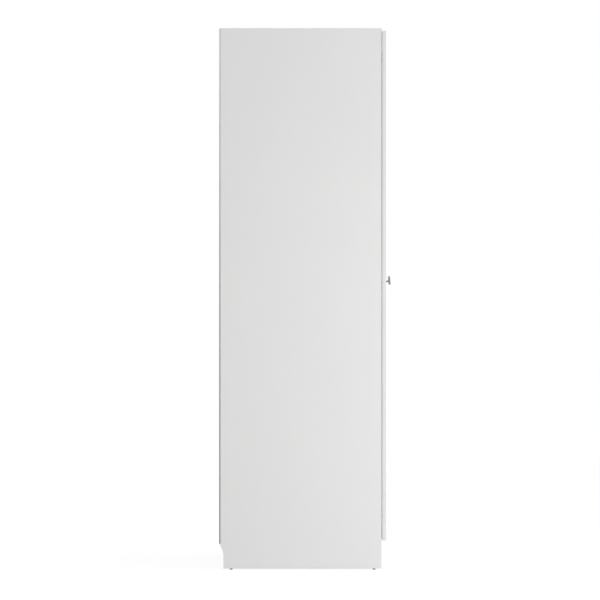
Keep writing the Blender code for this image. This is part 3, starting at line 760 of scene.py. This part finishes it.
def make_nails(hand):
    """Nail heads along the outer, top, bottom and shelf edges of one sheet."""
    low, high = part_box(f"back_panel_{hand}")
    sign = -1 if hand == "left" else 1
    outer_x = sign * (max(abs(low.x), abs(high.x)) - NAIL_FROM_EDGE)
    rows = [middle_height("bottom_panel"), middle_height("hat_shelf"), high.z - NAIL_FROM_EDGE]
    along = spread(sign * NAIL_FROM_MIDDLE, outer_x, NAIL_PITCH)[:-1]
    spots = [(x, z) for z in rows for x in along]
    spots += [(outer_x, z) for z in spread(rows[0], rows[-1], NAIL_PITCH)]
    bm = bmesh.new()
    for x, z in spots:
        turn(bm, NAIL_PROFILE, (x, high.y, z), WAYS["back"], NAIL_STEPS)
    print("nails in the", hand, "sheet", len(spots))
    return add_piece(f"back_nails_{hand}", bm, (steel,), "carcass")


for hand in HANDS:
    make_nails(hand)

# %% [markdown]
# ## Screw heads
# Hinges and knobs are held by pan-head screws with a pressed cross recess.
# A dark cross painted on the head would be quicker, but it looks flat from close by.
# Here a grid of nine faces is the top: its boundary is extruded outward ring by ring to make the round head,
# and the five faces of its cross are extruded down to make the recess, in painted shade. One trial head shows what
# that costs.

# %% A screw head
HEAD_FLAT = 0.5
HEAD_RINGS = ((0.82, 0.85), (1.0, 0.45), (1.0, 0.0))
RECESS_DEPTH = 0.55
SCREW_STEEL_AND_SHADE = (steel, recess)
SUNK = 1


def only(kind, items):
    """Those of some mesh elements that are of one kind."""
    return [item for item in items if isinstance(item, kind)]


def screw_head(bm, centre, axis, radius, tall):
    """A pan head with a cross recess, standing on a face."""
    old_verts = set(bm.verts)
    old_faces = set(bm.faces)
    top = Matrix.Translation((0, 0, tall))
    bmesh.ops.create_grid(bm, x_segments=3, y_segments=3, size=HEAD_FLAT * radius, matrix=top)
    cells = [(face, face.calc_center_median()) for face in bm.faces if face not in old_faces]
    cross = [face for face, middle in cells if min(abs(middle.x), abs(middle.y)) < MERGE]
    rim = [edge for edge in bm.edges if edge.is_boundary]
    for reach, height in HEAD_RINGS:
        ring = bmesh.ops.extrude_edge_only(bm, edges=rim)["geom"]
        rim = only(bmesh.types.BMEdge, ring)
        for vert in only(bmesh.types.BMVert, ring):
            vert.co = vert.co.xy.normalized().to_3d() * reach * radius + UP * height * tall
    bmesh.ops.holes_fill(bm, edges=rim, sides=0)
    # The cross's faces take the painted shade.
    for face in cross:
        face.material_index = SUNK
    bottom = bmesh.ops.extrude_face_region(bm, geom=cross)["geom"]
    bmesh.ops.delete(bm, geom=[face for face in cross if face.is_valid], context="FACES")
    bmesh.ops.translate(bm, verts=only(bmesh.types.BMVert, bottom), vec=-UP * RECESS_DEPTH * tall)
    bmesh.ops.recalc_face_normals(bm, faces=[face for face in bm.faces if face not in old_faces])
    facing = UP.rotation_difference(Vector(axis)).to_matrix().to_4x4()
    made = [vert for vert in bm.verts if vert not in old_verts]
    bmesh.ops.transform(bm, matrix=Matrix.Translation(centre) @ facing, verts=made)


trial = bmesh.new()
screw_head(trial, centre=(0, 0, 0), axis=UP, radius=3 * MM, tall=2 * MM)
print("a screw head has", len(trial.faces), "faces")
trial.free()

# %% [markdown]
# ## Cup screws
# Two screws hold each cup in its door, one above and one below it in the flange.
# Their places could be typed in for all six cups, but the cup's own box gives its middle and its flange,
# so only the distances from there are values.

# %% Cup screws
CUP_SCREW_RADIUS = 3.3 * MM
CUP_SCREW_TALL = 1.6 * MM
CUP_SCREW_LIFT = 24 * MM
CUP_SCREW_INSET = 8 * MM
INWARD = {"left": WAYS["right"], "right": WAYS["left"]}


def far_face(node, hand):
    """The x of a part's face that looks to the middle of the wardrobe."""
    low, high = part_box(node)
    return high.x if hand == "left" else low.x


def make_cup_screws(hand, level):
    """The two screws that hold a cup in its door."""
    cup = f"hinge_cup_{hand}_{level}"
    x = far_face(cup, hand) - INWARD[hand].x * CUP_SCREW_INSET
    flange_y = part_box(cup)[1].y
    bm = bmesh.new()
    for lift in (-CUP_SCREW_LIFT, CUP_SCREW_LIFT):
        spot = (x, flange_y, middle_height(cup) + lift)
        screw_head(bm, spot, WAYS["back"], CUP_SCREW_RADIUS, CUP_SCREW_TALL)
    return add_piece(f"cup_screws_{hand}_{level}", bm, SCREW_STEEL_AND_SHADE, f"door_body_{hand}")


cup_screws = [make_cup_screws(hand, level) for hand in HANDS for level in LEVELS]
print("pairs of cup screws", len(cup_screws))

# %% [markdown]
# ## Plate and arm screws
# Two screws hold a hinge's plate to the side, two more clamp and adjust its arm, and the arm's pins end in
# small riveted heads. They could be five pieces, but none of them moves against the others, so they are one.
# Places are measured as a fitter does: across from the side's outer face and deep from the door's back.

# %% Plate and arm screws
PLATE_SCREW_RADIUS = 3.4 * MM
PLATE_SCREW_TALL = 1.8 * MM
PLATE_SCREW_LIFT = 16 * MM
ARM_TOP = 24.1 * MM
ARM_SCREWS = ((33 * MM, 3.2 * MM), (47 * MM, 2.6 * MM))
ARM_SCREW_TALL = 1.4 * MM
PINS = ((38 * MM, 14 * MM, 1), (26.7 * MM, -6.9 * MM, -1))
PIN_REACH = 6.2 * MM
PIN_PROFILE = [(0, 0), (1.5 * MM, 0), (1.3 * MM, 0.35 * MM), (0, 0.5 * MM)]
PIN_STEPS = 14


def make_plate_screws(hand, level):
    """Screws of a plate and its arm, and the heads of the arm's pins."""
    plate = f"hinge_plate_{hand}_{level}"
    low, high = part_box(plate)
    plate_z = middle_height(plate)
    door_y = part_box(f"door_{hand}")[1].y
    inward = INWARD[hand]
    outer_x = -inward.x * cad_high.x
    bm = bmesh.new()
    for lift in (-PLATE_SCREW_LIFT, PLATE_SCREW_LIFT):
        spot = (far_face(plate, hand), (low.y + high.y) / 2, plate_z + lift)
        screw_head(bm, spot, inward, PLATE_SCREW_RADIUS, PLATE_SCREW_TALL)
    for depth, radius in ARM_SCREWS:
        spot = (outer_x + inward.x * ARM_TOP, door_y + depth, plate_z)
        screw_head(bm, spot, inward, radius, ARM_SCREW_TALL)
    for across, depth, way in PINS:
        spot = (outer_x + inward.x * across, door_y + depth, plate_z + way * PIN_REACH)
        turn(bm, PIN_PROFILE, spot, UP * way, PIN_STEPS)
    return add_piece(f"plate_screws_{hand}_{level}", bm, SCREW_STEEL_AND_SHADE, "carcass")


plate_screws = [make_plate_screws(hand, level) for hand in HANDS for level in LEVELS]
print("sets of plate screws", len(plate_screws))

# %% [markdown]
# ## Knob screws
# A screw from inside the door holds each knob. A thread could be swept along a helix,
# but it is hidden in the knob's post, so a plain turned shank stands for it.
# The head is the hinges' pan head at another size, about the same axis.

# %% Knob screws
KNOB_SCREW_TALL = 2.4 * MM
SHANK_RADIUS = 2 * MM
SHANK_TIP = 1 * MM
SHANK_STEPS = 16


def make_knob_screw(hand):
    """A pan-head screw from inside the door into the knob's post."""
    node = f"knob_screw_{hand}"
    low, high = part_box(node)
    centre = Vector(((low.x + high.x) / 2, high.y - KNOB_SCREW_TALL, middle_height(node)))
    length = centre.y - low.y
    bm = bmesh.new()
    screw_head(bm, centre, WAYS["back"], (high.x - low.x) / 2, KNOB_SCREW_TALL)
    shank = [(0, 0), (SHANK_RADIUS, 0), (SHANK_RADIUS, length - SHANK_TIP), (0, length)]
    turn(bm, shank, centre, WAYS["front"], SHANK_STEPS)
    return add_piece(f"{node}_turned", bm, SCREW_STEEL_AND_SHADE, f"door_body_{hand}", (node,))


knob_screws = [make_knob_screw(hand) for hand in HANDS]
print("knob screws", [screw.name for screw in knob_screws])

# %% [markdown]
# ## Floor: a plane
# The wardrobe stands on a plain pale floor. A curved backdrop could hide the horizon, but floor and background
# will both be white to the camera, so one flat plane is enough.

# %% Floor plane
FLOOR_HALF = 8.0

bm = bmesh.new()
bmesh.ops.create_grid(bm, x_segments=1, y_segments=1, size=FLOOR_HALF)
floor_mesh = bpy.data.meshes.new("floor")
bm.to_mesh(floor_mesh)
bm.free()
floor = bpy.data.objects.new("floor", floor_mesh)
bpy.context.scene.collection.objects.link(floor)
print("floor", [round(side, 1) for side in floor.dimensions])

# %% [markdown]
# ## Floor: where it glows
# In a studio picture the floor runs white into the background. More lamps would do that, but they would bleach
# the white boards too, so the floor gets some glow that only the camera sees.
# Under the wardrobe it must stay dark. The floor's own coordinates tell how far inside the outline a point lies,
# and the glow's share rises from nothing there to its full value at the outline.

# %% Share of the glow
GLOW_SHARE = 0.85
GLOW_FADE = 120 * MM

pale_floor = bpy.data.materials.new("pale_floor")
pale_floor.use_nodes = True
ground = pale_floor.node_tree


def combine(tree, operation, *values):
    """One or two values put through a Math node."""
    step = tree.nodes.new("ShaderNodeMath")
    step.operation = operation
    for value, entry in zip(values, step.inputs):
        tree.links.new(value, entry)
    return step.outputs["Value"]


def fade(tree, value, start, end):
    """A share that rises smoothly from nothing at the start to its full value at the end."""
    rise = tree.nodes.new("ShaderNodeMapRange")
    rise.interpolation_type = "SMOOTHSTEP"
    rise.inputs["From Min"].default_value = start
    rise.inputs["From Max"].default_value = end
    rise.inputs["To Max"].default_value = GLOW_SHARE
    tree.links.new(value, rise.inputs["Value"])
    return rise.outputs["Result"]


side_low, side_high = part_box("side_panel_left")
place = ground.nodes.new("ShaderNodeTexCoord")
parts = ground.nodes.new("ShaderNodeSeparateXYZ")
ground.links.new(place.outputs["Object"], parts.inputs["Vector"])
across = combine(ground, "ABSOLUTE", parts.outputs["X"])
beside = fade(ground, across, -side_high.x - GLOW_FADE, -side_high.x)
behind = fade(ground, parts.outputs["Y"], side_high.y - GLOW_FADE, side_high.y)
before = fade(ground, parts.outputs["Y"], side_low.y + GLOW_FADE, side_low.y)
share = combine(ground, "MAXIMUM", combine(ground, "MAXIMUM", beside, behind), before)
print("share of the glow from", len(ground.nodes), "nodes")

# %% [markdown]
# ## Floor: its finish
# The floor is matt, so that the wardrobe's soft shadow falls on it, and the glow is mixed over it by its share.
# A floor that only glows would be simpler, but then the wardrobe would seem to float.
# Seen from below the floor is clear, so that the wardrobe's underside can be looked at.

# %% Floor finish
FLOOR_COLOUR = (0.90, 0.90, 0.90, 1.0)
FLOOR_GLOW = 1.08


def mix(tree, share, first, second):
    """Two shaders mixed by the second one's share."""
    mixed = tree.nodes.new("ShaderNodeMixShader")
    for value, entry in zip((share, first, second), mixed.inputs):
        tree.links.new(value, entry)
    return mixed.outputs["Shader"]


ground.nodes.remove(ground.nodes["Principled BSDF"])
matt = ground.nodes.new("ShaderNodeBsdfDiffuse")
matt.inputs["Color"].default_value = FLOOR_COLOUR
glow = ground.nodes.new("ShaderNodeEmission")
glow.inputs["Strength"].default_value = FLOOR_GLOW
clear = ground.nodes.new("ShaderNodeBsdfTransparent")
ray = ground.nodes.new("ShaderNodeLightPath")
side = ground.nodes.new("ShaderNodeNewGeometry")
seen_share = combine(ground, "MULTIPLY", ray.outputs["Is Camera Ray"], share)
above = mix(ground, seen_share, matt.outputs["BSDF"], glow.outputs["Emission"])
both = mix(ground, side.outputs["Backfacing"], above, clear.outputs["BSDF"])
ground.links.new(both, ground.nodes["Material Output"].inputs["Surface"])
floor_mesh.materials.append(pale_floor)
print("finish", pale_floor.name, "has", len(ground.nodes), "nodes")

# %% [markdown]
# ## Background
# Around the wardrobe there is only white. A white world at full strength would also light the boards until they
# clip. So the world is white to the camera, in reflections and through clear surfaces,
# and softer as light. One Map Range picks between the two strengths.

# %% Background
AMBIENT = 0.595

world = bpy.data.worlds.new("studio")
bpy.context.scene.world = world
world.use_nodes = True
sky = world.node_tree
ray = sky.nodes.new("ShaderNodeLightPath")
mirrored = combine(sky, "MAXIMUM", ray.outputs["Is Camera Ray"], ray.outputs["Is Glossy Ray"])
shown = combine(sky, "MAXIMUM", mirrored, ray.outputs["Is Transmission Ray"])
strength = sky.nodes.new("ShaderNodeMapRange")
strength.inputs["To Min"].default_value = AMBIENT
strength.inputs["To Max"].default_value = 1.0
sky.links.new(shown, strength.inputs["Value"])
white = sky.nodes["Background"]
white.inputs["Color"].default_value = (1.0, 1.0, 1.0, 1.0)
sky.links.new(strength.outputs["Result"], white.inputs["Strength"])
print("background", world.name, "lights with a strength of", AMBIENT)

# %% [markdown]
# ## Lamps
# The photograph's light is soft: the side board is a little brighter to the front and to the floor.
# A low wide softbox off the front corner gives that, and a large weak one overhead lights the top.
# A sun lamp would be simpler, but it throws hard shadows. A wide lamp also keeps its reflection in the doors faint.

# %% Lamps
def add_lamp(name, place, target, size, power):
    """A soft lamp of a width and a height, aimed at a point."""
    lamp = bpy.data.lights.new(name, "AREA")
    lamp.shape = "RECTANGLE"
    lamp.size, lamp.size_y = size
    lamp.energy = power
    holder = bpy.data.objects.new(name, lamp)
    holder.location = place
    holder.rotation_euler = (Vector(target) - Vector(place)).to_track_quat("-Z", "Y").to_euler()
    holder.visible_camera = False
    bpy.context.scene.collection.objects.link(holder)
    print("lamp", name, power, "W")


add_lamp("front_softbox", place=(-2.9, -3.4, 0.58), target=(0.0, -0.2, 0.3), size=(2.6, 1.1), power=90)
add_lamp("top_softbox", place=(0.6, -1.0, 4.6), target=(0.0, 0.0, 1.0), size=(3.0, 3.0), power=30)

# %% [markdown]
# ## Camera
# The photograph looks squarely at the left side, with hardly any perspective.
# An orthographic camera would have none at all, but a long lens from far off also serves other views.
# The lens follows from the distance and from the width that the picture spans at the side board.

# %% Camera at the side
PHOTO_SPAN = 2.216
CAMERA_DISTANCE = 12.5
CAMERA_HEIGHT = 0.9959
CAMERA_Y = 0.0223
SENSOR = 36.0

lens = bpy.data.cameras.new("camera")
lens.sensor_width = SENSOR
lens.lens = SENSOR * CAMERA_DISTANCE / PHOTO_SPAN
camera = bpy.data.objects.new("camera", lens)
camera.location = (cad_low.x - CAMERA_DISTANCE, CAMERA_Y, CAMERA_HEIGHT)
camera.rotation_euler = (math.radians(90), 0.0, math.radians(-90))
bpy.context.scene.collection.objects.link(camera)
bpy.context.scene.camera = camera
bpy.context.scene.view_settings.view_transform = "Standard"
print("lens", round(lens.lens, 1), "mm")
